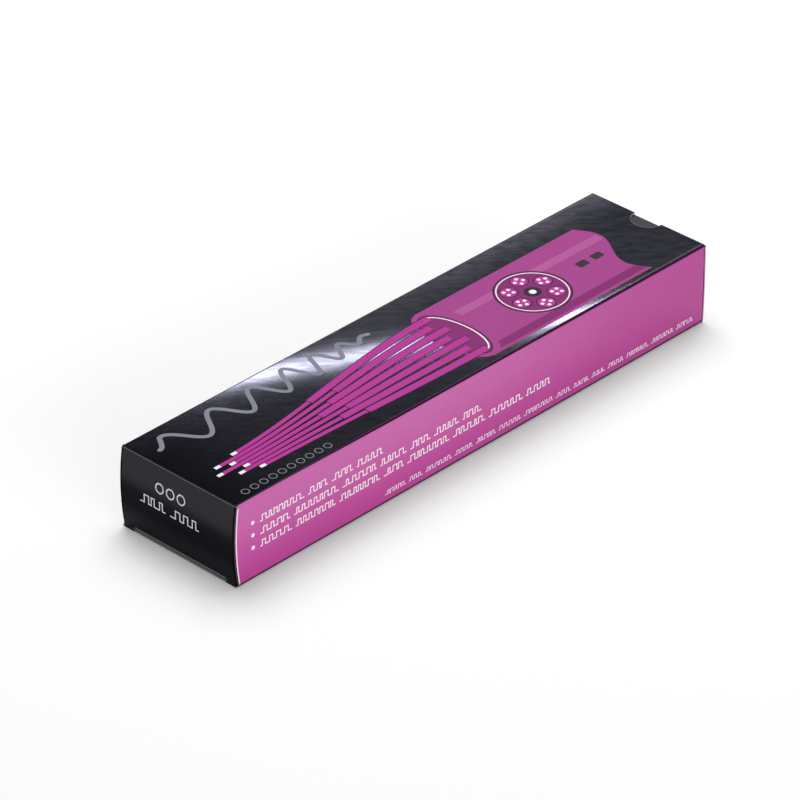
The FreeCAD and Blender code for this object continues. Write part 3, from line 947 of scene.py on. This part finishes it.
# a cross-section of the same cable, over its jacket: tubes round a middle strand, with fibre ends in each
section = {
    "at": (50.0, -4.6),
    "radius": 13.6,
    "edgeLine": 0.585,
    "innerLine": 0.93,  # share of the radius where the white line runs
    "tubes": 6,
    "turn": 0.3,
    "tubeRadius": 3.3,
    "tubesAt": 8.3,
    "middle": 3.2,
    "heart": 0.42,  # share of the middle strand that is white
    "fibres": 4,
    "fibreRadius": 0.72,
    "fibresAt": 1.7,
    "line": 0.45,
}


def makeSection():
    plan, at = section, section["at"]
    tubes, turns = around(at, plan["tubesAt"], plan["tubes"], plan["turn"])
    fibres = [around(tube, plan["fibresAt"], plan["fibres"], turn)[0] for tube, turn in zip(tubes, turns)]
    makePrint("section_field_print", [disc(at, plan["radius"], "mark", count=60)], "deepField")
    filled = [disc(tube, plan["tubeRadius"], "line", count=28) for tube in tubes]
    makePrint("section_tubes_print", filled, "brightField")
    lines = [ring(at, plan["radius"], plan["edgeLine"], "over", count=96)]
    lines += [ring(tube, plan["tubeRadius"], plan["line"], "over", count=36) for tube in tubes]
    lines.append(disc(at, plan["middle"], "line", count=28))
    makePrint("section_outline_print", lines, "darkLine")
    bright = [disc(fibre, plan["fibreRadius"], "over", count=14) for fibre in np.vstack(fibres)]
    bright.append(ring(at, plan["radius"] * plan["innerLine"], plan["line"], count=96))
    bright.append(disc(at, plan["middle"] * plan["heart"], "over", count=20))
    makePrint("section_fibres_print", bright, "whiteInk")


makeSection()

# a wave of light that grows shorter along the front panel, and a row of fibre ends beside the cable
lightWave = {
    "from": -108.0,
    "to": -9.0,
    "height": 15.2,
    "climb": 1.6,
    "swing": 5.6,
    "longest": 25.0,
    "shortest": 8.5,
    "fadeIn": 0.05,  # share of the wave over which its swing grows, and over which it fades
    "fadeOut": 0.25,
    "fadePower": 0.8,
    "width": 1.75,
    "points": 420,
}
fibreRow = {"from": -106.0, "count": 10, "spacing": 4.2, "height": -22.3, "radius": 1.35, "width": 0.36}


def makeLightWave():
    plan, row = lightWave, fibreRow
    along = np.linspace(plan["from"], plan["to"], plan["points"])
    share = (along - plan["from"]) / (plan["to"] - plan["from"])
    # the phase is the sum of 2 pi / wavelength, and the wavelength falls evenly along the wave
    length = plan["longest"] + (plan["shortest"] - plan["longest"]) * share
    phase = np.concatenate([[0], np.cumsum(2 * np.pi * np.diff(along) / length[1:])])
    fade = np.clip((1 - share) / plan["fadeOut"], 0, 1) ** plan["fadePower"]
    swing = plan["swing"] * np.clip(share / plan["fadeIn"], 0, 1) * fade
    up = plan["height"] + plan["climb"] * share + swing * np.sin(phase)
    wave = roundStroke(np.stack([along, up], axis=1), plan["width"])
    makePrint("light_wave_print", [wave], "silverLine")
    spots = row["from"] + row["spacing"] * np.arange(row["count"])
    rings = [ring((u, row["height"]), row["radius"], row["width"]) for u in spots]
    makePrint("fibre_row_print", rings, "greyLine")


makeLightWave()
print("front panel printed")

# the sides: rows of light pulses in packets, each row behind a dot, and one small row at the foot
pulses = {
    "rows": [(-104.0, -40.0, 20.9), (-104.0, 3.0, 16.1), (-104.0, 36.0, 11.3)],  # from, to and height
    "large": {"rise": 2.1, "width": 0.40, "lengths": (0.75, 2.0), "gap": 1.7},
    "dot": (-107.3, 0.75),  # place along the side, and radius
    "foot": (-46.0, 110.0, 3.6),
    "inPacket": (3, 8),  # fewest pulses in a packet, and one more than the most
    "small": {"rise": 1.35, "width": 0.27, "lengths": (0.55, 1.35), "gap": 1.4},
}


def pulseRow(start, stop, level, look, dice):
    # packets of square pulses: a run of up and down steps of random lengths, with a gap between packets
    films, here = [], start
    shortest, longest = look["lengths"]
    while here < stop - 3 * longest:
        steps = dice.integers(*pulses["inPacket"]) * 2 + 1
        edges = here + np.concatenate([[0], np.cumsum(dice.uniform(shortest, longest, steps))])
        if edges[-1] > stop:
            # what fits of the packet, if that is at least one whole pulse
            edges = edges[edges <= stop]
            edges = edges[: len(edges) // 2 * 2]
            if len(edges) < 4:
                break
        across = np.repeat(edges, 2)[1:-1]
        up = level + look["rise"] * np.repeat(np.arange(len(edges) - 1) % 2, 2)
        films.append(stroke(np.stack([across, up], axis=1), look["width"]))
        here = edges[-1] + look["gap"]
    return films


def makeSidePrint(name, place, seed):
    dice, films = np.random.default_rng(seed), []
    dotAt, dotRadius = pulses["dot"]
    for row in pulses["rows"]:
        films += pulseRow(*row, pulses["large"], dice)
        films.append(disc((dotAt, row[2] + pulses["large"]["rise"] / 2), dotRadius, "line", count=16))
    films += pulseRow(*pulses["foot"], pulses["small"], dice)
    makePrint(name, films, "whiteInk", place)


makeSidePrint("side_pulse_print", onSide, 3)
makeSidePrint("seam_side_pulse_print", onSeamSide, 5)

# the ends: three fibre ends over one row of pulses
endPrint = {
    "ringHeight": 23.2,
    "ringsAt": (-8.0, -3.0, 2.0),
    "radius": 1.75,
    "width": 0.5,
    "row": (-17.0, 13.0, 15.0),
    "pulses": {"rise": 3.0, "width": 0.45, "lengths": (1.2, 2.6), "gap": 2.2},
}


def makeEndPrint(name, place, body, seed):
    plan, dice = endPrint, np.random.default_rng(seed)
    films = [ring((u, plan["ringHeight"]), plan["radius"], plan["width"]) for u in plan["ringsAt"]]
    films += pulseRow(*plan["row"], plan["pulses"], dice)
    makePrint(name, films, "paleLine", place, body)


makeEndPrint("near_end_print", onNearEnd, "near_panel", 11)
makeEndPrint("far_end_print", onFarEnd, "far_panel", 12)
print("sides and ends printed")

# sizes of the studio are in metres
studio = {
    "floorSize": 6.0,
    "floorPoints": 9,  # along each of its sides
    "floorLevel": 0.00002,  # a hair above the underside, so that the two planes don't coincide
    "floorColour": (0.90, 0.90, 0.90),
    "floorLift": 0.10,  # added to what the camera sees of the floor, so that open floor is white
    "ambient": 0.25,
}


def makeFloor():
    steps = np.linspace(-0.5, 0.5, studio["floorPoints"]) * studio["floorSize"]
    across, along = np.meshgrid(steps, steps)
    points = np.stack([across, along, np.full_like(across, studio["floorLevel"])], axis=-1).reshape(-1, 3)
    index = np.arange(across.size).reshape(across.shape)
    quads = np.stack([index[:-1, :-1], index[:-1, 1:], index[1:, 1:], index[1:, :-1]], axis=-1)
    kinds = "OutputMaterial", "BsdfDiffuse", "Emission", "AddShader"
    material, (output, plain, glow, both) = emptyMaterial("studio_floor", kinds)
    put(plain.inputs["Color"], studio["floorColour"])
    put(glow.inputs["Strength"], product(seenRays(material.node_tree), studio["floorLift"]))
    put(both.inputs[0], plain.outputs[0])
    put(both.inputs[1], glow.outputs[0])
    put(output.inputs["Surface"], both.outputs[0])
    floor = addMesh("studio_floor", points, quads.reshape(-1, 4), material)


def lightWorld():
    # white all round for what the camera sees, and dimmer as a light
    world = bpy.data.worlds.new("studio")
    world.use_nodes = True
    bpy.context.scene.world = world
    tree = world.node_tree
    background = tree.nodes["Background"]
    strength = choose(seenRays(tree), studio["ambient"], 1.0)
    fill(background, {"Color": (1, 1, 1), "Strength": strength})


makeFloor()
lightWorld()

lamps = {
    # where it stands, what it faces, width and height in metres, and radiance
    "keyBox": ((0.34, 0.40, 1.40), (0.0, 0.0, 0.0), (1.2, 1.2), 4.3),
    "fillBox": ((-0.5, -1.9, 0.5), (0.0, 0.0, 0.0), (2.0, 0.8), 4.2),
}


def addLamp(name, size, radiance):
    # a rectangular lamp that the camera doesn't see: its power is pi * radiance * area
    light = bpy.data.lights.new(name, "AREA")
    light.shape = "RECTANGLE"
    light.size, light.size_y = size
    light.energy = radiance * math.pi * size[0] * size[1]
    lamp = addObject(name, light)
    lamp.visible_camera = False
    return lamp


for name, (place, target, size, radiance) in lamps.items():
    box = addLamp(name, size, radiance)
    box.location = place
    box.rotation_euler = (Vector(target) - Vector(place)).to_track_quat("-Z", "Y").to_euler()

# angles in degrees, and places in the carton's millimetres
view = {
    "azimuth": -46.235,
    "elevation": 32.118,
    "distance": 1701.207,
    "left": 7.822,
    "down": -6.904,
    "target": (0.425, 0.0, 0.0),
    "lens": 225.0,
}


def standing(place, *ways):
    # the matrix of an object whose axes point along the three ways
    return Matrix.Translation(place) @ Matrix(ways).transposed().to_4x4()


def addCamera():
    # the camera stands back from its target along azimuth and elevation, then moves left and down
    azimuth, elevation = math.radians(view["azimuth"]), math.radians(view["elevation"])
    level = math.cos(elevation)
    back = Vector((math.sin(azimuth) * level, -math.cos(azimuth) * level, math.sin(elevation)))
    right = (-back).cross(Vector((0, 0, 1))).normalized()
    up = right.cross(-back)
    place = Vector(view["target"]) + back * view["distance"] - right * view["left"] - up * view["down"]
    data = bpy.data.cameras.new("camera")
    data.lens = view["lens"]
    camera = addObject("camera", data)
    camera.matrix_world = standing(place * mm, right, up, back)
    bpy.context.scene.camera = camera
    return place


eye = addCamera()

# a slim lamp that the front panel mirrors as a bright band between these two places on it: the lamp
# runs between the mirrored lines of sight through them, a fixed way beyond the panel
bandLamp = {"from": (-84.0, 41.0), "to": (71.5, -37.6), "beyond": 300.0, "width": 4.6, "radiance": 54.0}


def addBandLamp():
    plan, top = bandLamp, carton["height"]
    mirroredEye = Vector((eye.x, eye.y, 2 * top - eye.z))
    spots = [Vector((*plan[end], top)) for end in ("from", "to")]
    start, stop = ((spot + (spot - mirroredEye).normalized() * plan["beyond"]) * mm for spot in spots)
    middle, long = (start + stop) / 2, (stop - start).normalized()
    away = (middle - Vector((0, 0, top * mm))).normalized()
    side = away.cross(long).normalized()
    lamp = addLamp("bandLamp", ((stop - start).length, plan["width"] * mm), plan["radiance"])
    lamp.visible_diffuse = False
    lamp.matrix_world = standing(middle, long, side, long.cross(side).normalized())


addBandLamp()

bpy.context.scene.view_settings.view_transform = "Standard"
print("floor, lights and camera set")
